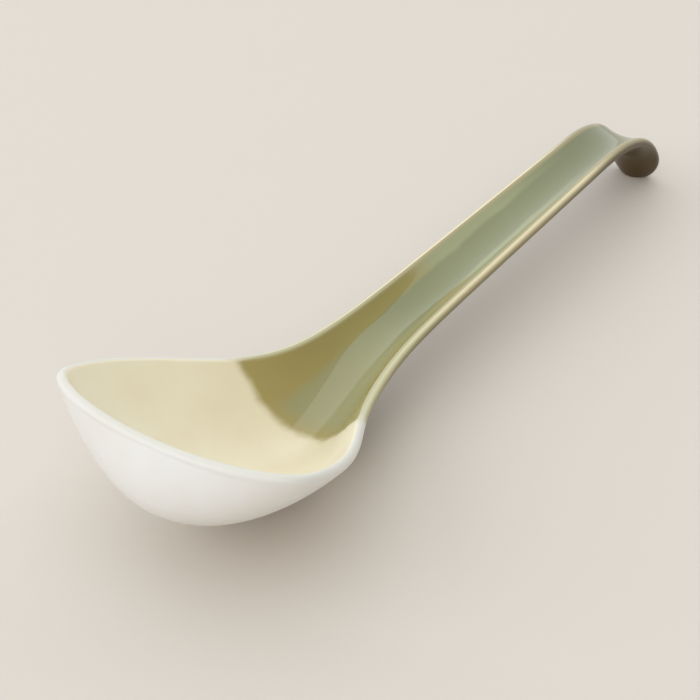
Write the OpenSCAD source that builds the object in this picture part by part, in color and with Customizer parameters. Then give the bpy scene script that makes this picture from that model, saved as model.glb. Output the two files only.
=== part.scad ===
// Ceramic ladle: a flared bowl that runs into a channelled handle, curled over at its far end.
// It lies at rest on its bare foot and on the tip of the curl, with the handle along +X and the
// table at Z = 0. Every piece is swept along one spine, the line of the rim seen from the side.
// A place on the ladle is given by its distance along that spine, counted from the front lip.

/* [Bowl] */
// Width over the crest of the lip, mm
bowl_width = 66; // [54:1:80]
// Depth of the underside below the rim, mm
bowl_depth = 23.7; // [18:0.1:28]
// Front lip to the widest place, mm
front_length = 13.5; // [10:0.5:20]
// Bluntness of the front seen from above, where 2 is an ellipse
front_shape = 2.6; // [2:0.1:3.5]
// Length over which the sides draw in towards the handle, mm
flank_length = 40; // [32:1:48]
// Suddenness of the flanks
flank_shape = 2.2; // [1.6:0.1:3]
// Front lip to the deepest place, mm
deepest_at = 27.5; // [24:0.5:34]
// Fullness of the front under the lip, where 2 is an ellipse
chin_shape = 3.5; // [2:0.1:4]
// Length over which the underside rises towards the handle, mm
rise_length = 44; // [38:0.5:48]
// Suddenness of that rise
rise_shape = 4; // [2.5:0.1:5]
// Drop of the front lip below the rest of the rim, mm
lip_dip = 2.4; // [0.5:0.1:5]
// Upward tilt of the mouth above level, degrees
mouth_tilt = 20.4; // [15:0.2:25]

/* [Handle] */
// Front lip to the middle of the neck, mm
neck_at = 61.5; // [56:0.5:68]
// Length of the bend in the neck, mm
neck_bend = 34; // [26:1:50]
// Middle of the neck to the start of the curl, mm
handle_length = 117; // [100:1:150]
// Width at the neck, mm
neck_width = 18.2; // [15:0.2:24]
// Width at the start of the curl, mm
end_width = 13.2; // [11:0.2:18]
// Depth of the underside below the rim at the neck, mm
handle_depth = 8.8; // [7.8:0.2:12]
// Depth of the underside below the rim at the start of the curl, mm
end_depth = 7.4; // [6.6:0.2:10]
// Clay and glaze left under the channel at the neck, mm
handle_floor = 4.2; // [3:0.1:5]
// Clay and glaze left under the channel where it has grown shallow, mm
end_floor = 5.8; // [4:0.1:6]
// Front lip to where the channel starts to grow shallow, mm
shoal_at = 92; // [80:1:110]
// Length over which it grows shallow, mm
shoal_length = 30; // [20:1:60]
// Rise of the handle above level, degrees
handle_rise = 1.8; // [0:0.1:3]

/* [Curl] */
// Turn of the curl from the handle to its tip, degrees
curl_turn = 98; // [80:1:110]
// Tightening of the curl towards the tip, where 1 is an arc of one radius
curl_shape = 1.7; // [1.2:0.1:2.4]
// Depth of the channel left at the tip, mm
tip_channel = 1; // [0.8:0.1:2]
// Thickness of the tongue under that channel, mm
tongue = 4.3; // [3.5:0.1:6]
// Length of the rounded end of the tongue, mm
tongue_round = 8.8; // [6:0.2:10]

/* [Wall] */
// Thickness of the lip over the glaze, mm
lip = 2.6; // [2:0.1:3.6]
// Thickness of the bowl's floor over the glaze, mm
bowl_floor = 3.2; // [2.6:0.1:4.4]
// Thickness of the glaze, mm
glaze = 0.35; // [0.2:0.05:0.5]
// Thickness of the slip that joins the handle to the bowl, mm
slip = 0.6; // [0.4:0.1:1]
// Front lip to the slip joint, mm
joint_at = 92; // [86:1:100]
// Depth ground off the underside for the foot, mm
foot_cut = 1; // [0.8:0.1:1.3]
// Depth ground off the tip of the curl, mm
tip_cut = 0.3; // [0.2:0.1:0.6]
// Height below which the clay is left bare, mm
bare_height = 0.55; // [0.55:0.05:1]

/* [Glaze line] */
// Front lip to the green glaze at the lips, mm
green_at = 52; // [48:1:58]
// Distance that the green stays further back in the middle, mm
green_hollow = 9; // [0:0.5:12]
// Distance that the green stays further back on the left lip, mm
green_skew = 2; // [-6:0.5:6]
// Roundness of the green's edge left of the middle, where 2 is a parabola
left_shape = 1.3; // [1.2:0.1:4]
// Roundness of the green's edge right of the middle
right_shape = 4; // [1.2:0.1:6]

/* [Hidden] */

// Steps round the front, along the bowl, neck, handle and curl, and round the tip
front_steps = 10;
bowl_steps = 9;
neck_steps = 7;
handle_steps = 8;
curl_steps = 11;
tip_steps = 8;
// Steps round each side of the lip and down each wall
lip_steps = 3;
wall_steps = 10;
half = lip_steps + wall_steps;
span = 2 * half;
// Width of the flat left in the middle of the front and of the tip, and the step for slopes
least_width = 4;
nudge = 0.05;
// Steps each side of the middle that the bare foot takes, enough to lift the glaze off the table
foot_steps = ceil(wall_steps * sqrt((foot_cut + 2 * glaze) / (bowl_depth - lip)));
// Power of the wall's curve from the middle up to the lip
section_power = 2;
// Reach of the glaze line's curve along the spine
line_reach = 16;
// Step of the spine's table, and steps of its curl
spine_step = 0.5;
spine_turns = 60;
// Share of the tongue's depth that is left at the very tip
nose_share = 0.55;

curl_at = neck_at + handle_length;
eps = 0.001;

function smooth(u) = let (t = min(max(u, 0), 1)) t * t * (3 - 2 * t);
function mix(a, b, t) = a + (b - a) * t;
function total(list) = list * [for (v = list) 1];
function moved(p, t, d) = [p.x + cos(t) * d, p.y - sin(t) * d];

// Fall of the spine below level up to the curl
function rim_fall(s) = mix(mouth_tilt, -handle_rise, smooth((s - neck_at + neck_bend / 2) / neck_bend));

// Forward place and height of the spine up to the curl, from its start at the front
straight = [for (i = 0, p = [0, 0]; i * spine_step <= curl_at + eps;
    p = moved(p, rim_fall((i + 0.5) * spine_step), spine_step), i = i + 1)
    [i * spine_step, p.x, p.y]];
straight_x = [for (p = straight) [p[0], p[1]]];
straight_z = [for (p = straight) [p[0], p[2]]];

// Underside of bowl and handle below the rim
function bulk(s) = exp(-pow(max(s - deepest_at, 0) / rise_length, rise_shape));
function chin(s) = pow(1 - pow(max(1 - s / deepest_at, 0), chin_shape), 1 / chin_shape);
function along_handle(s) = min((s - neck_at) / handle_length, 1);
function handle_under(s) = mix(handle_depth, end_depth, along_handle(s));
function full_under(s) = mix(handle_under(s), bowl_depth, bulk(s));
function bowl_under(s) = lip_dip + (full_under(s) - lip_dip) * chin(s);

// The table touches the lowest place of the bare underside, less what is ground off
under_heights = [for (s = [deepest_at / 3 : 1 : curl_at])
    lookup(s, straight_z) - (bowl_under(s) - glaze) * cos(rim_fall(s))];
table = min(under_heights) + foot_cut;

// The curl is as long as it takes for the rounded clay at its tip to reach the table
last_angle = acos(least_width / end_width);
nose_reach = 0.9 * (lip / 2 - glaze) - tongue_round * (1 - sin(last_angle));
curl_drop = lookup(curl_at, straight_z) - table - nose_reach + tip_cut;
curl_sines = [for (i = [0.5 : 1 : spine_turns])
    sin(curl_turn * pow(i / spine_turns, curl_shape) - handle_rise)];
curl_length = curl_drop * spine_turns / total(curl_sines);
tip_at = curl_at + curl_length;
round_at = tip_at - tongue_round;

// Fall of the spine anywhere along it, and its places round the curl
function fall(s) = rim_fall(s) + curl_turn * pow(max(s - curl_at, 0) / curl_length, curl_shape);
turn_step = curl_length / spine_turns;
curled = [for (i = 0, p = [lookup(curl_at, straight_x), lookup(curl_at, straight_z)]; i <= spine_turns;
    p = moved(p, fall(curl_at + (i + 0.5) * turn_step), turn_step), i = i + 1)
    [curl_at + i * turn_step, p.x, p.y]];
curled_x = [for (p = curled) [p[0], p[1]]];
curled_z = [for (p = curled) [p[0], p[2]]];
function spine_x(s) = lookup(s, s < curl_at ? straight_x : curled_x);
function spine_z(s) = lookup(s, s < curl_at ? straight_z : curled_z);

// Shape of the ladle at a place along the spine
function curl_part(s) = smooth((s - curl_at) / (round_at - curl_at));
function nose(s) = sqrt(1 - pow(max(s - round_at, 0) / (tongue_round + eps), 2));
function front_part(s) = pow(max(1 - s / front_length, 0), front_shape);
function handle_half(s) = mix(neck_width, end_width, along_handle(s)) / 2;
function flank(s) = exp(-pow(max(s - front_length, 0) / flank_length, flank_shape));
function half_width(s) = s < front_length ? bowl_width / 2 * sqrt(1 - front_part(s))
    : mix(handle_half(s), bowl_width / 2, flank(s)) * nose(s);
function rim_drop(s) = lip_dip * front_part(s);
function under(s) = mix(bowl_under(s), tongue + tip_channel, curl_part(s)) * mix(nose_share, 1, nose(s));
function channel_floor(s) = mix(handle_floor, end_floor, smooth((s - shoal_at) / shoal_length));
function open_share(s) = 1 - mix(channel_floor(s), bowl_floor, bulk(s)) / full_under(s);
function bowl_hollow(s) = rim_drop(s) + (bowl_under(s) - rim_drop(s)) * open_share(s);
function hollow(s) = mix(bowl_hollow(s), tip_channel, curl_part(s));
function slope(s) = (half_width(s + nudge) - half_width(max(s - nudge, eps))) /
    (s + nudge - max(s - nudge, eps));

// Places along the spine at which the sections stand
first_angle = asin(least_width / bowl_width);
stations = [
    for (i = [0 : front_steps])
        front_length * (1 - pow(cos(mix(first_angle, 90, i / front_steps)), 2 / front_shape)),
    for (i = [1 : bowl_steps]) mix(front_length, green_at, i / bowl_steps),
    for (i = [1 : neck_steps]) mix(green_at, joint_at - slip / 2, i / neck_steps),
    for (i = [0 : handle_steps]) mix(joint_at + slip / 2, curl_at, i / handle_steps),
    for (i = [1 : curl_steps]) mix(curl_at, round_at, i / curl_steps),
    for (i = [1 : tip_steps]) round_at + tongue_round * sin(last_angle * i / tip_steps)];
green_row = front_steps + bowl_steps;
joint_row = green_row + neck_steps;
last_row = len(stations) - 1;

// Bend of the rows near the glaze line, side is 1 at the left lip and -1 at the right
function edge(side) = pow(abs(side), side > 0 ? left_shape : right_shape);
function bent(s, side) = s + exp(-pow((s - green_at) / line_reach, 2)) *
    (green_hollow * (1 - edge(side)) + green_skew * side);

// A point of the surface. The way is 1 on the underside and -1 in the hollow, the depth is how
// far the surface lies below the glaze, and the column runs from the left lip to the right.
function point(row, column, way, depth) = let (
    q = min(column, span - column),
    side = column <= half ? 1 : -1,
    share = q <= lip_steps ? 1 : 1 - (q - lip_steps) / wall_steps,
    s = bent(stations[row], side * share),
    b = half_width(s),
    normal = [-slope(s), 1] / norm([slope(s), 1]),
    keel = way > 0 ? under(s) - depth : hollow(s) + depth,
    h = lip / 2 - depth,
    lean = atan2(section_power * (keel - rim_drop(s)), b),
    turn = (way > 0 ? 180 - lean : lean) * min(q / lip_steps, 1),
    out = way * h * sin(turn),
    top = rim_drop(s) + lip / 2 - h * cos(turn),
    y = side * (b + out * normal.y) * share,
    v = keel - (keel - top) * pow(share, section_power),
    along = out * normal.x)
    [spine_x(s) + along * cos(fall(s)) - v * sin(fall(s)), y,
     spine_z(s) - along * sin(fall(s)) - v * cos(fall(s)) - table];

// All the points of one surface, and the middle of the whole ladle's length
function grid(way, depth) = [for (i = [0 : last_row]) [for (j = [0 : span]) point(i, j, way, depth)]];
glaze_out = grid(1, 0);
glaze_in = grid(-1, 0);
reach_x = [for (row = glaze_out, p = row) p.x];
middle = (min(reach_x) + max(reach_x)) / 2;
function placed(rows, ground) = [for (row = rows) [for (p = row)
    [p.x - middle, p.y, ground ? max(p.z, 0) : p.z]]];
skin_out = placed(glaze_out, false);
skin_in = placed(glaze_in, false);
clay_out = placed(grid(1, glaze), true);
clay_in = placed(grid(-1, glaze), true);

// Rows whose underside stays clear of the table, and the rows of the bare foot between them
function low(row) = min([for (p = clay_out[row]) p.z]);
foot_rows = [for (i = [0 : green_row + neck_steps]) if (low(i) < bare_height) i];
foot_first = foot_rows[0] - 1;
foot_last = foot_rows[len(foot_rows) - 1] + 1;
tip_rows = [for (i = [joint_row + handle_steps : last_row]) if (low(i) < bare_height) i];
coat_end = tip_rows[0] - 1;

// Two triangles for a face of four corners, less any that has shrunk to a line
function tri(a, b, c) = a == b || b == c || a == c ? [] : [[a, b, c]];
function quad(a, b, c, d) = concat(tri(a, b, c), tri(a, c, d));
function turned(faces) = [for (f = faces) [f[2], f[1], f[0]]];
function flat(rows) = [for (row = rows, p = row) p];

// A closed body of clay between two rows. An end is zipped left to right where it narrows to
// the front or the tip, and is capped across the wall where it meets the slip.
module body(first, last, zip_first, zip_last) {
    rows = last - first;
    cells = (rows + 1) * (span + 1);
    function o(i, j) = i * (span + 1) + j;
    function n(i, j) = j == 0 || j == span ? o(i, j) : cells + i * (span - 1) + j - 1;
    under_faces = [for (i = [0 : rows - 1], j = [0 : span - 1])
        each quad(o(i, j), o(i + 1, j), o(i + 1, j + 1), o(i, j + 1))];
    hollow_faces = [for (i = [0 : rows - 1], j = [0 : span - 1])
        each quad(n(i, j), n(i + 1, j), n(i + 1, j + 1), n(i, j + 1))];
    front = zip_first
        ? [for (j = [0 : half - 1]) each concat(
            quad(o(0, j), o(0, j + 1), o(0, span - j - 1), o(0, span - j)),
            turned(quad(n(0, j), n(0, j + 1), n(0, span - j - 1), n(0, span - j))))]
        : [for (j = [0 : span - 1]) each quad(n(0, j), o(0, j), o(0, j + 1), n(0, j + 1))];
    back = zip_last
        ? [for (j = [0 : half - 1]) each concat(
            turned(quad(o(rows, j), o(rows, j + 1), o(rows, span - j - 1), o(rows, span - j))),
            quad(n(rows, j), n(rows, j + 1), n(rows, span - j - 1), n(rows, span - j)))]
        : [for (j = [0 : span - 1])
            each turned(quad(n(rows, j), o(rows, j), o(rows, j + 1), n(rows, j + 1)))];
    points = concat(
        flat([for (i = [first : last]) clay_out[i]]),
        [for (i = [first : last], j = [1 : span - 1]) clay_in[i][j]]);
    polyhedron(points, turned(concat(under_faces, turned(hollow_faces), front, back)));
}

// A thin closed coat on the clay between two rows, with the bare foot left out of it
module coat(skin, clay, way, first, last, zip_first, bare) {
    rows = last - first;
    count = (rows + 1) * (span + 1);
    function t(i, j) = i * (span + 1) + j;
    function kept(i, j) = i >= 0 && i < rows && j >= 0 && j < span &&
        !(bare && i + first >= foot_first && i + first < foot_last &&
          j >= half - foot_steps && j < half + foot_steps);
    function wall(a, b) = quad(b, a, a + count, b + count);
    cells = [for (i = [0 : rows - 1], j = [0 : span - 1]) if (kept(i, j)) [i, j]];
    top = [for (c = cells) each quad(t(c[0], c[1]), t(c[0] + 1, c[1]), t(c[0] + 1, c[1] + 1),
        t(c[0], c[1] + 1))];
    zip = zip_first
        ? [for (j = [0 : half - 1])
            each quad(t(0, j), t(0, j + 1), t(0, span - j - 1), t(0, span - j))]
        : [];
    walls = [for (c = cells) let (i = c[0], j = c[1]) each concat(
        kept(i, j - 1) ? [] : wall(t(i, j), t(i + 1, j)),
        kept(i + 1, j) ? [] : wall(t(i + 1, j), t(i + 1, j + 1)),
        kept(i, j + 1) ? [] : wall(t(i + 1, j + 1), t(i, j + 1)),
        kept(i - 1, j) || (zip_first && i == 0) ? [] : wall(t(i, j + 1), t(i, j)))];
    front = zip_first ? wall(t(0, span), t(0, 0)) : [];
    sheet = concat(top, zip);
    inside = [for (f = turned(sheet)) [f[0] + count, f[1] + count, f[2] + count]];
    faces = concat(sheet, inside, walls, front);
    points = concat(flat([for (i = [first : last]) skin[i]]), flat([for (i = [first : last]) clay[i]]));
    polyhedron(points, way > 0 ? turned(faces) : faces);
}

module bowl_body() {
    color("#cdb899") body(0, joint_row, true, false);
}

module handle_body() {
    color("#c7b08f") body(joint_row + 1, last_row, false, true);
}

module luting_slip() {
    color("#b9a182") body(joint_row, joint_row + 1, false, false);
}

module bowl_lining_glaze() {
    color("#e6ddbb") coat(skin_in, clay_in, -1, 0, green_row, true, false);
}

module bowl_outer_glaze() {
    color("#edeae4") coat(skin_out, clay_out, 1, 0, green_row, true, true);
}

module handle_channel_glaze() {
    color("#96a074") coat(skin_in, clay_in, -1, green_row, coat_end, false, false);
}

module handle_back_glaze() {
    color("#8c8f5a") coat(skin_out, clay_out, 1, green_row, coat_end, false, true);
}

bowl_body();
handle_body();
luting_slip();
bowl_lining_glaze();
bowl_outer_glaze();
handle_channel_glaze();
handle_back_glaze();
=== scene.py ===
"""Dresses the ceramic ladle: smooth clay, cream, white and green glazes, and a soft studio stage."""
import math

import bpy
import numpy as np
from bpy.props import FloatProperty, PointerProperty, StringProperty
from mathutils import Matrix, Vector


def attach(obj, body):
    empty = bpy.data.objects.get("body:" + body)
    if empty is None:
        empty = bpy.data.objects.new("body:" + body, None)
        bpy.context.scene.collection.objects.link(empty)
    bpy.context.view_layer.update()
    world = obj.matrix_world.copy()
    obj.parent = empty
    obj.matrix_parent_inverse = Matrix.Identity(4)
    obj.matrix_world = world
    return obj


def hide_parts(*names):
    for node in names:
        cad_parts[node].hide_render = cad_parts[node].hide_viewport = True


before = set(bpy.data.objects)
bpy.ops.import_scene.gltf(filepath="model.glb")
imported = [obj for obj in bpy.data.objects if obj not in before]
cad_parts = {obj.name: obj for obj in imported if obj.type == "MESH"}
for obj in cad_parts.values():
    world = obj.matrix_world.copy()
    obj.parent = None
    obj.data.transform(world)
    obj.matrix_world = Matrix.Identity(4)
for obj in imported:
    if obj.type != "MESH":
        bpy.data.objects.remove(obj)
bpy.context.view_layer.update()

bl_info = {
    "name": "Ceramic ladle",
    "version": (1, 0, 0),
    "blender": (4, 5, 0),
    "location": "View3D > Sidebar > Ladle",
    "description": "Builds the glazed pieces of a ceramic ladle on its solids",
    "category": "Object",
}

MM = 0.001
# Fineness of the meshes: gaps between rows, rows at the round ends, and steps round a lip and down a wall
BOWL_GAP = 0.8 * MM
HANDLE_GAP = 1.2 * MM
CURL_GAP = 0.6 * MM
FRONT_ROWS = 24
TIP_ROWS = 16
LIP_STEPS = 10
WALL_STEPS = 26
# Fineness of the sums along the spine, along its curl and over the curl's turn
SPINE_POINTS = 800
CURL_POINTS = 240
TURN_POINTS = 400
# Width of the flat left in the middle of the front and of the tip, the step for slopes, the least length
LEAST_WIDTH = 4 * MM
NUDGE = 0.05 * MM
EPS = 0.001 * MM
# A section is a parabola below its lips
SECTION_POWER = 2
# Share of the clay lip's radius by which the tip reaches past the end of the spine
TIP_REACH = 0.9
# The two faces of the clay
UNDER = 1
HOLLOW = -1
# Edges sharper than these stay sharp
GLAZE_CREASE = math.radians(50)
CLAY_CREASE = math.radians(30)

# Size of the glaze's clouds, of the waver of its line, of its swells, and of the grog in the clay
CLOUD = 16 * MM
WAVE = 6 * MM
SWELL = 5 * MM
GROG = 0.5 * MM
SWELL_HEIGHT = 0.01 * MM
GROG_HEIGHT = 0.05 * MM
GROG_STRENGTH = 0.6
# Values of a noise, or of the depth in a section, between which a tone comes in
CLOUD_RANGE = (0.35, 0.7)
WAVE_RANGE = (0.25, 0.75)
GROG_RANGE = (0.45, 0.7)
# The pooled tone is partly painted light: a painted reflection in the channel, painted shade under the back
POOL_LIGHT_RANGE = (0.44, 0.64)
# How far the clouds shift the edge of the pooled glaze, whose tone is partly painted light
CLOUD_PULL = 0.3
# Distances past the dipped line between which a tone comes in
WALL_EDGE = (45 * MM, 0)
POOL_EDGE = (6 * MM, 0)
UPPER_WALL = (56 * MM, 68 * MM)
# Near the neck the pool pales in the channel: a painted reflection of the ceiling
NECK_LIGHT_POOL = (60 * MM, 8 * MM)
# On the back the tone at the curl is painted shade under the tongue
CURL = (90 * MM, 135 * MM)
THIN_END = (5 * MM, 70 * MM)
THIN_CURL = (112 * MM, 138 * MM)
# Most of the edge's tone, the crest's half width, and the share of a fade where the lip's tone is full
EDGE_SHARE = 0.8
CREST = 0.3 * MM
LIP_CORE = 0.2

# Width of the photograph in pixels and of the camera's sensor in millimetres
PHOTO = 700
SENSOR = 36
# Softboxes in metres: place, aim, and width and height of the face. Places are to the picture's right,
# ahead and up from the middle of the ladle. The window and the ceiling meet in one edge.
SKY_AHEAD = 1.0
SKY_TOP = 2.33
CEILING_LENGTH = 3.0
CEILING_AHEAD = SKY_AHEAD - CEILING_LENGTH / 2
SOFTBOXES = {
    "Window": ((0.25, SKY_AHEAD, SKY_TOP / 2), (0.25, 0, SKY_TOP / 2), (5.5, SKY_TOP)),
    "Ceiling": ((0.1, CEILING_AHEAD, SKY_TOP), (0.1, CEILING_AHEAD, 0), (3.2, CEILING_LENGTH)),
    "Side": ((-1.5, -0.6, 1.1), (0, -0.6, 1.1), (1.8, 1.6)),
    "Front": ((-0.3, -2.2, 1.6), (0, 0, 0), (2.2, 1.6)),
}


def size(name, text, value):
    """A length, written in millimetres."""
    return FloatProperty(name=name, description=text, default=value * MM, unit="LENGTH", precision=5)


def angle(name, text, value):
    """An angle, written in degrees."""
    return FloatProperty(name=name, description=text, default=math.radians(value), subtype="ANGLE")


def number(name, text, value):
    """A plain number."""
    return FloatProperty(name=name, description=text, default=value)


def tint(name, text, value):
    """A colour, written as sRGB hex."""
    return StringProperty(name=name, description=text, default=value)


class LadleShape(bpy.types.PropertyGroup):
    """Sizes of the ladle, the same as those of its solids"""
    bowl_width: size("Bowl width", "Width of the bowl between the crests of its lips", 66)
    bowl_depth: size("Bowl depth", "Depth of the underside below the rim", 23.7)
    front_length: size("Front length", "Front lip to the widest place", 13.5)
    front_shape: number("Front shape", "Bluntness of the front, 2 is an ellipse", 2.6)
    flank_length: size("Flank length", "Length over which the flanks draw in to the neck", 40)
    flank_shape: number("Flank shape", "Suddenness with which the flanks draw in", 2.2)
    deepest_at: size("Deepest at", "Front lip to the deepest place", 27.5)
    chin_shape: number("Chin shape", "Fullness of the underside at the front", 3.5)
    rise_length: size("Rise length", "Length over which the underside rises to the neck", 44)
    rise_shape: number("Rise shape", "Suddenness of that rise", 4)
    lip_dip: size("Lip dip", "Drop of the lip in the middle of the front", 2.4)
    mouth_tilt: angle("Mouth tilt", "Fall of the rim from the front to the neck", 20.4)
    neck_at: size("Neck at", "Front lip to the middle of the neck", 61.5)
    neck_bend: size("Neck bend", "Length of the bend at the neck", 34)
    handle_length: size("Handle length", "Neck to the start of the curl", 117)
    neck_width: size("Neck width", "Width of the handle at the neck", 18.2)
    end_width: size("End width", "Width of the handle at the curl", 13.2)
    handle_depth: size("Handle depth", "Depth of the handle at the neck", 8.8)
    end_depth: size("End depth", "Depth of the handle at the curl", 7.4)
    handle_floor: size("Handle floor", "Thickness under the channel at the neck", 4.2)
    end_floor: size("End floor", "Thickness under the channel where it is shallow", 5.8)
    shoal_at: size("Shoal at", "Front lip to the start of the channel's shoaling", 92)
    shoal_length: size("Shoal length", "Length over which the channel grows shallow", 30)
    handle_rise: angle("Handle rise", "Rise of the handle above level", 1.8)
    curl_turn: angle("Curl turn", "Turn of the curl", 98)
    curl_shape: number("Curl shape", "How much the curl tightens to its end", 1.7)
    tip_channel: size("Tip channel", "Depth of the channel in the tongue", 1)
    tongue: size("Tongue", "Thickness of the tongue", 4.3)
    tongue_round: size("Tongue round", "Length of the rounded end of the tongue", 8.8)
    nose_share: number("Nose share", "Share of the tongue's depth left at its tip", 0.55)
    lip: size("Lip", "Thickness of the lip over the glaze", 2.6)
    bowl_floor: size("Bowl floor", "Thickness of the bowl's floor", 3.2)
    glaze: size("Glaze", "Thickness of the glaze", 0.35)
    slip: size("Slip", "Thickness of the slip joint", 0.6)
    joint_at: size("Joint at", "Front lip to the slip joint", 92)
    foot_cut: size("Foot cut", "Depth ground off the underside for the foot", 1)
    tip_cut: size("Tip cut", "Depth ground off the tip of the curl", 0.3)
    bare_height: size("Bare height", "Height below which the foot is left bare", 0.55)
    bare_tip: size("Bare tip", "Height below which the tip is left bare", 0.5)
    green_at: size("Green at", "Front lip to the green glaze at the lips", 52)
    green_hollow: size("Green hollow", "How much further back the green stays in the middle", 9)
    green_skew: size("Green skew", "How much further back the green stays on the left lip", 2)
    left_shape: number("Left shape", "Roundness of the green's edge left of the middle", 1.3)
    right_shape: number("Right shape", "Roundness of the green's edge right of the middle", 4)
    line_reach: size("Line reach", "Reach of the glaze line's curve along the spine", 16)


class InsideGlaze(bpy.types.PropertyGroup):
    """Glaze inside the bowl and in the channel of the handle"""
    pale: tint("Cream", "Glaze inside the bowl", "#F0E8CC")
    pale_thick: tint("Thick cream", "Cream glaze where it lies thick", "#ECE2C4")
    green: tint("Green", "Green glaze on the walls of the neck", "#9A9056")
    green_upper: tint("Upper green", "Green glaze on the walls of the upper channel", "#969A6D")
    # Pooled glaze along the channel floor, whose band also stands in for the ceiling's reflection: painted
    # reflection
    green_thick: tint("Thick green", "Green glaze where it lies thick in the channel", "#80845A")
    # Paler near the neck: pooled glaze and a painted reflection of the ceiling on the channel floor
    green_pool: tint("Pooled green", "Green glaze where it lies thick in the neck", "#A3A076")
    green_curl: tint("Green at the curl", "Green glaze in the channel of the curl", "#747850")
    thin_neck: tint("Thin green at the neck", "Green that breaks thin over the lip at the neck", "#B8B28A")
    thin_end: tint("Thin green", "Green that breaks thin over the lip of the handle", "#A89D72")
    fade: size("Fade", "Width over which the pale glaze turns to the lip's tone", 0.8)
    thin_width: size("Thin width", "Width over which the green is thin beside a lip", 1.5)
    gloss: number("Gloss", "Roughness of the green glaze", 0.09)


class OutsideGlaze(bpy.types.PropertyGroup):
    """Glaze outside the bowl and on the back of the handle, under the same keys as the inside"""
    pale: tint("White", "Glaze outside the bowl", "#EFEEEA")
    pale_thick: tint("Thick white", "White glaze where it lies thick", "#ECE9E2")
    # The back greens are darker than the channel's: partly the back's own glaze, partly painted shade under
    # the handle
    green: tint("Back green", "Green glaze on the flanks of the neck", "#7F7245")
    green_upper: tint("Upper back green", "Green glaze on the flanks of the handle", "#7F7245")
    # Darker where the back is deepest: painted shade under the handle
    green_thick: tint("Thick back green", "Green glaze where it lies thick on the back", "#5E4E29")
    green_pool: tint("Pooled back green", "Green glaze where it lies thick under the neck", "#7F7245")
    # Painted shade under the tongue of the curl
    green_curl: tint("Back green at the curl", "Green glaze on the back of the curl", "#4A370C")
    thin_neck: tint("Thin back green at the neck", "Green that breaks thin over the neck's lip", "#CBCA9E")
    thin_end: tint("Thin back green", "Green that breaks thin over the handle's lip", "#E4D8AE")
    fade: size("Fade", "Width over which the pale glaze turns to the lip's tone", 2.4)
    thin_width: size("Thin width", "Width over which the green is thin beside a lip", 2.0)
    gloss: number("Gloss", "Roughness of the green glaze", 0.28)


class LadleGlaze(bpy.types.PropertyGroup):
    """Tones and finish that both glazes share, and the bare clay"""
    # Darker than the white on the crest: the glazes meeting there, and painted shade that tones down the
    # crest's highlight
    lip_white: tint("Lip white", "Cream and white glaze where they meet on the lip", "#DCDACE")
    green_edge: tint("Edge green", "Green glaze beside its dipped line", "#AE9F64")
    thin_curl: tint("Thin green at the curl", "Green that breaks thin over the lip of the curl", "#A0956A")
    clay: tint("Clay", "Bare fired clay", "#CDB899")
    clay_dark: tint("Dark clay", "Grog in the bare clay", "#B79C78")
    satin: number("Satin", "Roughness of the cream and white glazes", 0.42)
    dry: number("Dry", "Roughness of the bare clay", 0.85)
    ior: number("Index", "How strongly the glaze bends and mirrors light", 1.6)
    edge_soft: size("Soft edge", "Half of the width over which the glazes run together", 1.4)
    edge_lip: size("Soft edge on the lip", "The same on the crest of the lip", 5)
    edge_waver: size("Waver", "How far the glaze line wavers", 0.5)


class LadleStage(bpy.types.PropertyGroup):
    """Camera, floor and lamps"""
    camera_fall: angle("Camera fall", "How far the camera looks down", 35)
    camera_turn: angle("Camera turn", "Turn of the view from the handle's line", 54.86)
    camera_distance: size("Camera distance", "Camera to the front lip along the view", 520.31)
    front_u: number("Front across", "Place of the front lip across the picture, 0 to 1", 152.36 / PHOTO)
    front_v: number("Front down", "Place of the front lip down the picture, 0 to 1", 438.8 / PHOTO)
    focal_share: number("Focal share", "Focal length over the picture's width", 2500 / PHOTO)
    floor_size: size("Floor size", "Width of the floor", 6000)
    floor_tint: tint("Floor", "Colour of the floor", "#D8D0C5")
    floor_rough: number("Floor roughness", "Roughness of the floor", 0.6)
    world_tint: tint("World", "Colour of the light all round", "#FFF8EE")
    world_level: number("World level", "Strength of the light all round", 0.3)
    window_tint: tint("Window", "Colour of the window", "#EEF3F9")
    window_level: number("Window level", "Brightness of the window's face", 1.0)
    ceiling_tint: tint("Ceiling", "Colour of the ceiling lamp", "#EEF3F9")
    ceiling_level: number("Ceiling level", "Brightness of the ceiling lamp's face", 1.0)
    side_tint: tint("Side", "Colour of the side lamp", "#F2F7FF")
    side_level: number("Side level", "Brightness of the side lamp's face", 1.9)
    front_tint: tint("Front", "Colour of the front lamp", "#FFFFFF")
    front_level: number("Front level", "Brightness of the front lamp's face", 1.4)


def smooth(u):
    """Soft step from 0 to 1."""
    t = np.clip(u, 0, 1)
    return t * t * (3 - 2 * t)


def mix(a, b, t):
    """A value between two."""
    return a + (b - a) * t


def spaced(start, end, gap):
    """Even places from a start to an end, no further apart than a gap."""
    return np.linspace(start, end, math.ceil((end - start) / gap) + 1)


def walk(places, fall):
    """Forward ways and heights along a spine whose fall is known at each place."""
    middles = (places[1:] + places[:-1]) / 2
    steps = np.diff(places)
    forward = np.concatenate([[0], np.cumsum(np.cos(fall(middles)) * steps)])
    height = -np.concatenate([[0], np.cumsum(np.sin(fall(middles)) * steps)])
    return forward, height


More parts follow.
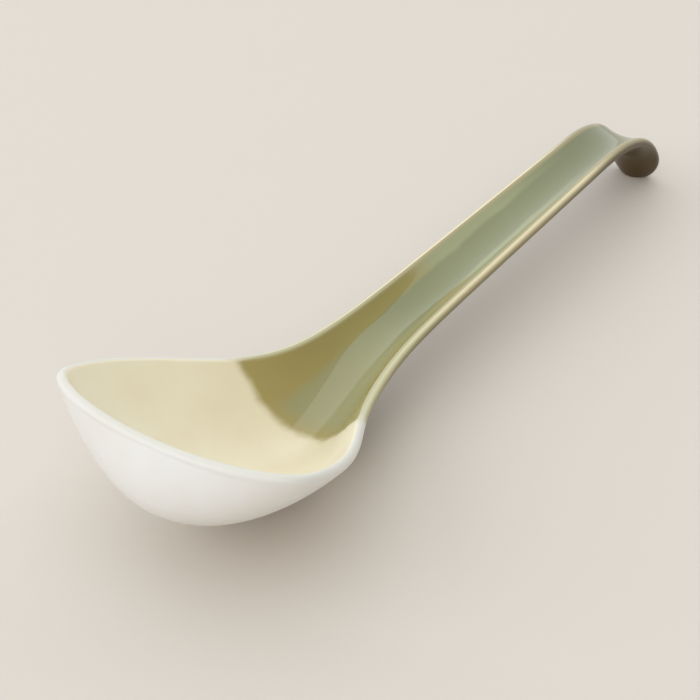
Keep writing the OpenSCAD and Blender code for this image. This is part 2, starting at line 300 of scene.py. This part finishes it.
class Form:
    """The ladle's surface: sections that stand on a spine from the front lip to the tip of the curl.
    A place s is the way along the spine from the front lip."""

    def __init__(self, shape):
        for key in LadleShape.__annotations__:
            setattr(self, key, getattr(shape, key))
        self.curl_at = self.neck_at + self.handle_length
        s = np.linspace(0, self.curl_at, SPINE_POINTS)
        x, z = walk(s, self.rim_fall)
        # The table touches the lowest place of the bare underside, less what is ground off
        lows = z - (self.bowl_under(s) - self.glaze) * np.cos(self.rim_fall(s))
        self.table = lows[s > self.deepest_at / 3].min() + self.foot_cut
        # The curl is as long as it takes for its tip to reach the table
        self.last_angle = math.acos(LEAST_WIDTH / self.end_width)
        short = self.tongue_round * (1 - math.sin(self.last_angle))
        nose_reach = TIP_REACH * (self.lip / 2 - self.glaze) - short
        drop = z[-1] - self.table - nose_reach + self.tip_cut
        share = np.linspace(0, 1, TURN_POINTS)
        sines = np.sin(self.curl_turn * share ** self.curl_shape - self.handle_rise)
        self.curl_length = drop / sines.mean()
        self.tip_at = self.curl_at + self.curl_length
        self.round_at = self.tip_at - self.tongue_round
        c = np.linspace(self.curl_at, self.tip_at, CURL_POINTS)
        curl_x, curl_z = walk(c, self.fall)
        self.spine = (np.append(s, c[1:]), np.append(x, x[-1] + curl_x[1:]),
                      np.append(z, z[-1] + curl_z[1:]))
        # The frame's origin is the middle of the ladle's length
        self.middle = 0
        rows = np.append(self.bowl_rows(self.green_at), self.handle_rows(self.green_at))
        reach = self.skin(rows, UNDER)[..., 0]
        self.middle = (reach.min() + reach.max()) / 2

    def rim_fall(self, s):
        """Fall of the spine in bowl and handle."""
        bend = smooth((s - self.neck_at + self.neck_bend / 2) / self.neck_bend)
        return mix(self.mouth_tilt, -self.handle_rise, bend)

    def fall(self, s):
        """Fall of the spine, with its curl."""
        share = np.maximum(s - self.curl_at, 0) / self.curl_length
        return self.rim_fall(s) + self.curl_turn * share ** self.curl_shape

    def bulk(self, s):
        """1 where the section is the bowl's, 0 where it is the handle's."""
        return np.exp(-(np.maximum(s - self.deepest_at, 0) / self.rise_length) ** self.rise_shape)

    def along_handle(self, s):
        return np.minimum((s - self.neck_at) / self.handle_length, 1)

    def full_under(self, s):
        """Depth of the underside without the rounding of the front."""
        handle = mix(self.handle_depth, self.end_depth, self.along_handle(s))
        return mix(handle, self.bowl_depth, self.bulk(s))

    def bowl_under(self, s):
        """Depth of the underside of bowl and handle."""
        chin = (1 - np.maximum(1 - s / self.deepest_at, 0) ** self.chin_shape) ** (1 / self.chin_shape)
        return self.lip_dip + (self.full_under(s) - self.lip_dip) * chin

    def curl_part(self, s):
        return smooth((s - self.curl_at) / (self.round_at - self.curl_at))

    def nose(self, s):
        """Share of the width left by the rounding of the tongue's end."""
        return np.sqrt(1 - (np.maximum(s - self.round_at, 0) / (self.tongue_round + EPS)) ** 2)

    def front_part(self, s):
        return np.maximum(1 - s / self.front_length, 0) ** self.front_shape

    def half_width(self, s):
        """Half of the width between the crests of the lips."""
        flank = np.exp(-(np.maximum(s - self.front_length, 0) / self.flank_length) ** self.flank_shape)
        handle = mix(self.neck_width, self.end_width, self.along_handle(s)) / 2
        behind = mix(handle, self.bowl_width / 2, flank) * self.nose(s)
        front = self.bowl_width / 2 * np.sqrt(1 - self.front_part(s))
        return np.where(s < self.front_length, front, behind)

    def under(self, s):
        """Depth of the underside everywhere."""
        deep = mix(self.bowl_under(s), self.tongue + self.tip_channel, self.curl_part(s))
        return deep * mix(self.nose_share, 1, self.nose(s))

    def hollow(self, s):
        """Depth of the bowl and of the channel."""
        shoal = smooth((s - self.shoal_at) / self.shoal_length)
        floor = mix(mix(self.handle_floor, self.end_floor, shoal), self.bowl_floor, self.bulk(s))
        open_share = 1 - floor / self.full_under(s)
        dip = self.lip_dip * self.front_part(s)
        return mix(dip + (self.bowl_under(s) - dip) * open_share, self.tip_channel, self.curl_part(s))

    def bent(self, s, side):
        """Bend of the rows near the glaze line, side is 1 at the left lip and -1 at the right."""
        power = np.where(side > 0, self.left_shape, self.right_shape)
        curve = self.green_hollow * (1 - np.abs(side) ** power) + self.green_skew * side
        return s + np.exp(-((s - self.green_at) / self.line_reach) ** 2) * curve

    def place(self, s, side, share, turn, way, depth):
        """Points of the surface: share runs down the wall from 1 at the lip, turn runs round the lip
        from 0 at its crest, way is the face of the clay, depth is below the glaze."""
        s = self.bent(s, side * share)
        half = self.half_width(s)
        before = np.maximum(s - NUDGE, EPS)
        slope = (self.half_width(s + NUDGE) - self.half_width(before)) / (s + NUDGE - before)
        length = np.hypot(slope, 1)
        dip = self.lip_dip * self.front_part(s)
        keel = np.where(way > 0, self.under(s) - depth, self.hollow(s) + depth)
        radius = self.lip / 2 - depth
        lean = np.arctan2(SECTION_POWER * (keel - dip), half)
        turn = np.where(way > 0, math.pi - lean, lean) * turn
        out = way * radius * np.sin(turn)
        top = dip + self.lip / 2 - radius * np.cos(turn)
        down = keel - (keel - top) * share ** SECTION_POWER
        along = -out * slope / length
        fall = self.fall(s)
        x = np.interp(s, self.spine[0], self.spine[1]) + along * np.cos(fall) - down * np.sin(fall)
        z = np.interp(s, self.spine[0], self.spine[2]) - along * np.sin(fall) - down * np.cos(fall)
        return np.stack([x - self.middle, side * (half + out / length) * share, z - self.table], -1)

    def columns(self):
        """Side, share and turn of the points of a section, from the left lip to the right."""
        turn = np.append(np.linspace(0, 1, LIP_STEPS + 1), np.ones(WALL_STEPS))
        share = np.append(np.ones(LIP_STEPS), np.linspace(1, 0, WALL_STEPS + 1))
        side = np.append(np.ones(len(turn)), -np.ones(len(turn) - 1))
        return side, np.append(share, share[-2::-1]), np.append(turn, turn[-2::-1])

    def skin(self, rows, way, depth=0.0):
        """Points of one face, row by row from the left lip to the right."""
        return self.place(rows[:, None], *self.columns(), way, depth)

    def bowl_rows(self, end):
        """Places along the spine from the front lip back to an end."""
        angles = np.linspace(math.asin(LEAST_WIDTH / self.bowl_width), math.pi / 2, FRONT_ROWS)
        front = self.front_length * (1 - np.cos(angles) ** (2 / self.front_shape))
        return np.append(front[:-1], spaced(self.front_length, end, BOWL_GAP))

    def handle_rows(self, start):
        """Places along the spine from a start back to the tip of the curl."""
        tip = self.round_at + self.tongue_round * np.sin(np.linspace(0, self.last_angle, TIP_ROWS))
        return np.concatenate([spaced(start, self.curl_at, HANDLE_GAP)[:-1],
                               spaced(self.curl_at, self.round_at, CURL_GAP)[:-1], tip])

    def front_crest(self):
        """The crest of the lip in the middle of the front."""
        crest = self.place(np.array([EPS]), 1, 1, 0, UNDER, 0)[0]
        return Vector((crest[0], 0, crest[2]))


def linear(text):
    """An sRGB hex colour as linear light with full alpha."""
    values = [int(text[i:i + 2], 16) / 255 for i in (1, 3, 5)]
    return tuple(v / 12.92 if v <= 0.04045 else ((v + 0.055) / 1.055) ** 2.4 for v in values) + (1.0,)


# Settings of the nodes that step a value softly and that mix two colours, whose output is the third
SOFT = {"interpolation_type": "SMOOTHSTEP"}
TINTS = {"data_type": "RGBA", "out": 2}


def add(tree, kind, inputs, out=0, **settings):
    """Adds a shader node, with its settings and its inputs as values or links, and gives an output."""
    node = tree.nodes.new("ShaderNode" + kind)
    for key, value in settings.items():
        setattr(node, key, value)
    for key, value in inputs.items():
        if isinstance(value, bpy.types.NodeSocket):
            tree.links.new(value, node.inputs[key])
        else:
            node.inputs[key].default_value = value
    return node.outputs[out]


def new_material(name):
    """A material with its node tree and its shader."""
    material = bpy.data.materials.new(name)
    material.use_nodes = True
    return material, material.node_tree, material.node_tree.nodes["Principled BSDF"]


def glazed_stoneware(name, glaze, side):
    """Glazed stoneware: a satin pale glaze that runs into a glossy green one at the dipped line.
    The eye sees the soft edge of the green, lighter there and pooled greyer away from the lips, the
    pale break of the glaze over the lips, faint clouds, and a surface a little uneven under its gloss.
    The pool is partly painted light: a paler painted reflection of the ceiling in the channel, most at
    the neck, and painted shade under the back and the curl; the lip's crest is toned down with painted
    shade."""
    material, tree, shader = new_material(name)
    place = add(tree, "TexCoord", {}, "Object")
    line = add(tree, "Attribute", {}, "Fac", attribute_name="line")
    lip = add(tree, "Attribute", {}, "Fac", attribute_name="lip")
    deep = add(tree, "Attribute", {}, "Fac", attribute_name="deep")
    cloud = add(tree, "TexNoise", {"Vector": place, "Scale": 1 / CLOUD, "Detail": 3}, "Fac")
    wave = add(tree, "TexNoise", {"Vector": place, "Scale": 1 / WAVE, "Detail": 2}, "Fac")
    swell = add(tree, "TexNoise", {"Vector": place, "Scale": 1 / SWELL, "Detail": 1}, "Fac")
    # The dipped line wavers, and the glazes run together more softly on the crest of the lip
    waver = add(tree, "MapRange", {0: wave, 1: WAVE_RANGE[0], 2: WAVE_RANGE[1], 3: -glaze.edge_waver,
                                   4: glaze.edge_waver}, **SOFT)
    wavered = add(tree, "Math", {0: line, 1: waver}, operation="ADD")
    crest = add(tree, "MapRange", {0: lip, 1: side.thin_width, 2: CREST}, **SOFT)
    soft = add(tree, "MapRange", {0: crest, 3: glaze.edge_soft, 4: glaze.edge_lip}, **SOFT)
    edge = add(tree, "Math", {0: wavered, 1: soft}, operation="DIVIDE")
    dipped = add(tree, "MapRange", {0: edge, 1: -1, 2: 1}, **SOFT)
    # The pool follows the depth in the section, shifted by clouds: partly pooled glaze, partly painted
    # light, a reflection in the channel and shade on the back
    thick = add(tree, "Math", {0: cloud, 1: CLOUD_PULL, 2: deep}, operation="MULTIPLY_ADD")
    # Each layer: the tone that it lies on, its own tone, what it follows, from where to where, and its most
    layers = (
        ("pale", "pale_thick", cloud, CLOUD_RANGE, 1),
        # The lip darkens towards its crest: partly the glazes meeting, partly painted shade
        ("pale", "lip_white", lip, (side.fade, LIP_CORE * side.fade), 1),
        ("green", "green_edge", wavered, WALL_EDGE, EDGE_SHARE),
        ("green", "green_upper", line, UPPER_WALL, 1),
        # Near the neck the pool pales: a painted reflection of the ceiling in the channel
        ("green_thick", "green_pool", line, NECK_LIGHT_POOL, 1),
        ("green_thick", "green_edge", wavered, POOL_EDGE, EDGE_SHARE),
        # Pool along the depth of the section: pooled glaze with a painted reflection in the channel and
        # painted shade on the back
        ("green", "green_thick", thick, POOL_LIGHT_RANGE, 1),
        # On the back the curl darkens: painted shade under the tongue
        ("green", "green_curl", line, CURL, 1),
        ("thin_neck", "thin_end", line, THIN_END, 1),
        ("thin_neck", "thin_curl", line, THIN_CURL, 1),
        ("green", "thin_neck", lip, (side.thin_width, CREST), 1),
        ("pale", "green", edge, (-1, 1), 1),
    )
    tones = {}
    for under, over, mark, (start, end), most in layers:
        for key in (under, over):
            group = side if key in OutsideGlaze.__annotations__ else glaze
            tones.setdefault(key, linear(getattr(group, key)))
        share = add(tree, "MapRange", {0: mark, 1: start, 2: end, 4: most}, **SOFT)
        tones[under] = add(tree, "Mix", {0: share, 6: tones[under], 7: tones[over]}, **TINTS)
    rough = add(tree, "MapRange", {0: dipped, 3: glaze.satin, 4: side.gloss}, **SOFT)
    bump = add(tree, "Bump", {"Height": swell, "Distance": SWELL_HEIGHT, "Strength": 1.0})
    tree.links.new(tones["pale"], shader.inputs["Base Color"])
    tree.links.new(rough, shader.inputs["Roughness"])
    tree.links.new(bump, shader.inputs["Normal"])
    shader.inputs["IOR"].default_value = glaze.ior
    return material


def bare_clay(name, glaze):
    """Bare fired clay: a dry sandy ground with fine darker grog, which shows at the foot and the tip."""
    material, tree, shader = new_material(name)
    place = add(tree, "TexCoord", {}, "Object")
    grog = add(tree, "TexNoise", {"Vector": place, "Scale": 1 / GROG, "Detail": 4}, "Fac")
    share = add(tree, "MapRange", {0: grog, 1: GROG_RANGE[0], 2: GROG_RANGE[1]}, **SOFT)
    tone = add(tree, "Mix", {0: share, 6: linear(glaze.clay), 7: linear(glaze.clay_dark)}, **TINTS)
    bump = add(tree, "Bump", {"Height": grog, "Distance": GROG_HEIGHT, "Strength": GROG_STRENGTH})
    tree.links.new(tone, shader.inputs["Base Color"])
    tree.links.new(bump, shader.inputs["Normal"])
    shader.inputs["Roughness"].default_value = glaze.dry
    return material


def deselect():
    """Leaves edit mode and selects nothing."""
    if bpy.context.object and bpy.context.object.mode != "OBJECT":
        bpy.ops.object.mode_set(mode="OBJECT")
    bpy.ops.object.select_all(action="DESELECT")


def lay_grid(name, points, marks):
    """A grid laid on a surface, point for point, with marks that its material reads."""
    deselect()
    rows, columns = points.shape[:2]
    bpy.ops.mesh.primitive_grid_add(x_subdivisions=rows - 1, y_subdivisions=columns - 1, size=1)
    piece = bpy.context.object
    piece.name = name
    mesh = piece.data
    mesh.name = name
    flat = np.empty(len(mesh.vertices) * 3)
    mesh.vertices.foreach_get("co", flat)
    flat = flat.reshape(-1, 3)
    i = np.rint((flat[:, 0] + 0.5) * (rows - 1)).astype(int)
    j = np.rint((flat[:, 1] + 0.5) * (columns - 1)).astype(int)
    mesh.vertices.foreach_set("co", points[i, j].ravel())
    for key, values in marks.items():
        mesh.attributes.new(key, "FLOAT", "POINT").data.foreach_set("value", values[i, j])
    mesh.update()
    return piece


def edit(*steps):
    """Does steps in edit mode with everything selected before each."""
    bpy.ops.object.mode_set(mode="EDIT")
    for tool, settings in steps:
        bpy.ops.mesh.select_all(action="SELECT")
        tool(**settings)
    bpy.ops.object.mode_set(mode="OBJECT")


def close_ends(values, front, tip):
    """Rows of values with the first or the last row doubled, where the front or the tip is closed."""
    return np.concatenate([values[:1]] * front + [values] + [values[-1:]] * tip)


def closed(points, front, tip):
    """Rows of points with one more drawn to the middle at each closed end."""
    points = close_ends(points, front, tip)
    points[:front, :, 1] = 0
    points[len(points) - tip:, :, 1] = 0
    return points


def glaze_marks(form, rows, points):
    """Each point's distance past the glaze line, distance from its lip, and depth in its section."""
    crest = np.where(points[..., 1:2] >= 0, points[:, :1], points[:, -1:])
    lip = np.linalg.norm(points - crest, axis=-1)
    line = np.broadcast_to((rows - form.green_at)[:, None], lip.shape)
    deep = np.broadcast_to(1 - form.columns()[1], lip.shape)
    return {"line": line, "lip": lip, "deep": deep}


def coat(form, name, rows, way, front, tip, bare):
    """One coat of glaze on one face of the clay, cut off above its bare place and made solid."""
    points = form.skin(rows, way)
    marks = glaze_marks(form, rows, points)
    marks = {key: close_ends(values, front, tip) for key, values in marks.items()}
    piece = lay_grid(name, closed(points, front, tip), marks)
    edit((bpy.ops.mesh.remove_doubles, {"threshold": EPS}))
    if bare:
        edit((bpy.ops.mesh.bisect, {"plane_co": (0, 0, bare), "plane_no": (0, 0, 1), "clear_inner": True,
                                    "threshold": EPS}))
    # The sheet's face looks down on the underside and up in the hollow
    mean = sum((p.normal * p.area for p in piece.data.polygons), Vector())
    if mean.z * way > 0:
        edit((bpy.ops.mesh.flip_normals, {}))
    solid = piece.modifiers.new("Thickness", "SOLIDIFY")
    solid.thickness = form.glaze
    solid.offset = -1
    solid.use_even_offset = True
    bpy.ops.object.modifier_apply(modifier=solid.name)
    bpy.ops.object.shade_smooth_by_angle(angle=GLAZE_CREASE)
    return piece


def clay(form, name, rows, front, tip):
    """A closed body of clay under the glaze, ground flat where it stands on the table."""
    under = form.skin(rows, UNDER, form.glaze)
    hollow = form.skin(rows, HOLLOW, form.glaze)
    points = np.concatenate([under, hollow[:, -2::-1]], axis=1)
    piece = lay_grid(name, closed(points, front, tip), {})
    edit((bpy.ops.mesh.remove_doubles, {"threshold": EPS}))
    # The end at the slip is still open
    bpy.ops.object.mode_set(mode="EDIT")
    bpy.ops.mesh.select_all(action="DESELECT")
    bpy.ops.mesh.select_non_manifold()
    bpy.ops.mesh.fill()
    bpy.ops.object.mode_set(mode="OBJECT")
    edit((bpy.ops.mesh.normals_make_consistent, {"inside": False}),
         (bpy.ops.mesh.bisect, {"plane_co": (0, 0, 0), "plane_no": (0, 0, 1), "use_fill": True,
                                "clear_inner": True, "threshold": EPS}))
    bpy.ops.object.shade_smooth_by_angle(angle=CLAY_CREASE)
    return piece


def dress(piece, material, node):
    """Gives a closed piece its material and its place in the frame."""
    edges = np.empty(len(piece.data.loops), np.int32)
    piece.data.loops.foreach_get("edge_index", edges)
    if (np.bincount(edges, minlength=len(piece.data.edges)) != 2).any():
        raise RuntimeError(f"{piece.name} isn't closed")
    piece.data.materials.clear()
    piece.data.materials.append(material)
    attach(piece, "root")
    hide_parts(node)


class LADLE_OT_clay(bpy.types.Operator):
    """Build the clay of bowl and handle and colour the slip between them"""
    bl_idname = "ladle.clay"
    bl_label = "Clay"

    def execute(self, context):
        form = Form(context.scene.ladle_shape)
        glaze = context.scene.ladle_glaze
        material = bare_clay("Bare fired clay", glaze)
        bowl = clay(form, "bowl_clay", form.bowl_rows(form.joint_at - form.slip / 2), True, False)
        dress(bowl, material, "bowl_body")
        handle = clay(form, "handle_clay", form.handle_rows(form.joint_at + form.slip / 2), False, True)
        dress(handle, material, "handle_body")
        slip = bpy.data.objects["luting_slip"]
        slip.data.materials.clear()
        slip.data.materials.append(bare_clay("Fired slip", glaze))
        return {"FINISHED"}


class LADLE_OT_bowl_glaze(bpy.types.Operator):
    """Build the cream glaze inside the bowl and the white glaze outside it"""
    bl_idname = "ladle.bowl_glaze"
    bl_label = "Bowl glaze"

    def execute(self, context):
        scene = context.scene
        form = Form(scene.ladle_shape)
        rows = form.bowl_rows(form.green_at)
        cream = glazed_stoneware("Cream glazed stoneware", scene.ladle_glaze, scene.ladle_inside)
        lining = coat(form, "cream_lining", rows, HOLLOW, True, False, 0)
        dress(lining, cream, "bowl_lining_glaze")
        white = glazed_stoneware("White glazed stoneware", scene.ladle_glaze, scene.ladle_outside)
        outside = coat(form, "white_outside", rows, UNDER, True, False, form.bare_height)
        dress(outside, white, "bowl_outer_glaze")
        return {"FINISHED"}


class LADLE_OT_handle_glaze(bpy.types.Operator):
    """Build the green glaze in the channel of the handle and on its back"""
    bl_idname = "ladle.handle_glaze"
    bl_label = "Handle glaze"

    def execute(self, context):
        scene = context.scene
        form = Form(scene.ladle_shape)
        rows = form.handle_rows(form.green_at)
        green = glazed_stoneware("Green glazed stoneware", scene.ladle_glaze, scene.ladle_inside)
        channel = coat(form, "green_channel", rows, HOLLOW, False, True, form.bare_tip)
        dress(channel, green, "handle_channel_glaze")
        # The darker back greens are partly painted shade under the handle and the tongue
        dark = glazed_stoneware("Dark green glazed stoneware", scene.ladle_glaze, scene.ladle_outside)
        back = coat(form, "green_back", rows, UNDER, False, True, form.bare_tip)
        dress(back, dark, "handle_back_glaze")
        return {"FINISHED"}


def softbox(name, studio, place, aim, face, level, colour):
    """A rectangular softbox, placed and aimed in the studio. Its level is the brightness of its face."""
    data = bpy.data.lights.new(name, "AREA")
    data.shape = "RECTANGLE"
    data.size, data.size_y = face
    data.energy = level * math.pi * face[0] * face[1]
    data.color = linear(colour)[:3]
    lamp = bpy.data.objects.new(name, data)
    bpy.context.scene.collection.objects.link(lamp)
    place, aim = studio @ Vector(place), studio @ Vector(aim)
    back = (place - aim).normalized()
    # The touch of ahead gives a lamp that looks straight down a side
    side = (studio @ Vector((0, EPS, 1))).cross(back).normalized()
    turned = Matrix((side, back.cross(side), back)).transposed()
    lamp.matrix_world = Matrix.Translation(place) @ turned.to_4x4()


class LADLE_OT_stage(bpy.types.Operator):
    """Build the floor, the lamps and the camera"""
    bl_idname = "ladle.stage"
    bl_label = "Stage"

    def execute(self, context):
        scene = context.scene
        stage = scene.ladle_stage
        self.add_floor(context, stage)
        scene.world = bpy.data.worlds.new("Soft studio")
        scene.world.use_nodes = True
        sky = scene.world.node_tree.nodes["Background"]
        sky.inputs["Color"].default_value = linear(stage.world_tint)
        sky.inputs["Strength"].default_value = stage.world_level
        # The picture's right, straight ahead and up as columns
        studio = Matrix.Rotation(-stage.camera_turn, 3, "Z")
        for name, (place, aim, face) in SOFTBOXES.items():
            level = getattr(stage, name.lower() + "_level")
            softbox(name, studio, place, aim, face, level, getattr(stage, name.lower() + "_tint"))
        self.add_camera(scene, stage)
        scene.view_settings.view_transform = "Standard"
        return {"FINISHED"}

    def add_floor(self, context, stage):
        """A wide plain floor at the height of the table."""
        deselect()
        bpy.ops.mesh.primitive_plane_add(size=stage.floor_size)
        floor = context.object
        floor.name = "floor"
        material, _, shader = new_material("Pale floor")
        shader.inputs["Base Color"].default_value = linear(stage.floor_tint)
        shader.inputs["Roughness"].default_value = stage.floor_rough
        floor.data.materials.append(material)

    def add_camera(self, scene, stage):
        """A camera that sees the front lip at its place in the picture, at the picture's angle."""
        turn, fall = stage.camera_turn, stage.camera_fall
        right = Vector((math.cos(turn), -math.sin(turn), 0))
        ahead = Vector((math.sin(turn), math.cos(turn), 0))
        forward = ahead * math.cos(fall) - Vector((0, 0, math.sin(fall)))
        up = right.cross(forward)
        across = (stage.front_u - 0.5) / stage.focal_share
        down = (stage.front_v - 0.5) / stage.focal_share
        crest = Form(scene.ladle_shape).front_crest()
        data = bpy.data.cameras.new("Camera")
        data.sensor_width = SENSOR
        data.lens = SENSOR * stage.focal_share
        data.dof.use_dof = False
        camera = bpy.data.objects.new("Camera", data)
        scene.collection.objects.link(camera)
        spot = crest - stage.camera_distance * (right * across - up * down + forward)
        axes = Matrix((right, up, -forward)).transposed().to_4x4()
        camera.matrix_world = Matrix.Translation(spot) @ axes
        scene.camera = camera


class LADLE_PT_panel(bpy.types.Panel):
    """Lists the steps that build the ladle"""
    bl_label = "Ceramic ladle"
    bl_idname = "LADLE_PT_panel"
    bl_space_type = "VIEW_3D"
    bl_region_type = "UI"
    bl_category = "Ladle"

    def draw(self, context):
        for step in STEPS:
            self.layout.operator(step.bl_idname)


STEPS = (LADLE_OT_clay, LADLE_OT_bowl_glaze, LADLE_OT_handle_glaze, LADLE_OT_stage)
GROUPS = {
    "ladle_shape": LadleShape,
    "ladle_inside": InsideGlaze,
    "ladle_outside": OutsideGlaze,
    "ladle_glaze": LadleGlaze,
    "ladle_stage": LadleStage,
}


def register():
    for item in (*GROUPS.values(), *STEPS, LADLE_PT_panel):
        bpy.utils.register_class(item)
    for key, group in GROUPS.items():
        setattr(bpy.types.Scene, key, PointerProperty(type=group))


def unregister():
    for key in GROUPS:
        delattr(bpy.types.Scene, key)
    for item in reversed((*GROUPS.values(), *STEPS, LADLE_PT_panel)):
        bpy.utils.unregister_class(item)


def main():
    """Builds the ladle and its stage."""
    register()
    bpy.ops.ladle.clay()
    bpy.ops.ladle.bowl_glaze()
    bpy.ops.ladle.handle_glaze()
    bpy.ops.ladle.stage()


if __name__ == "__main__":
    main()
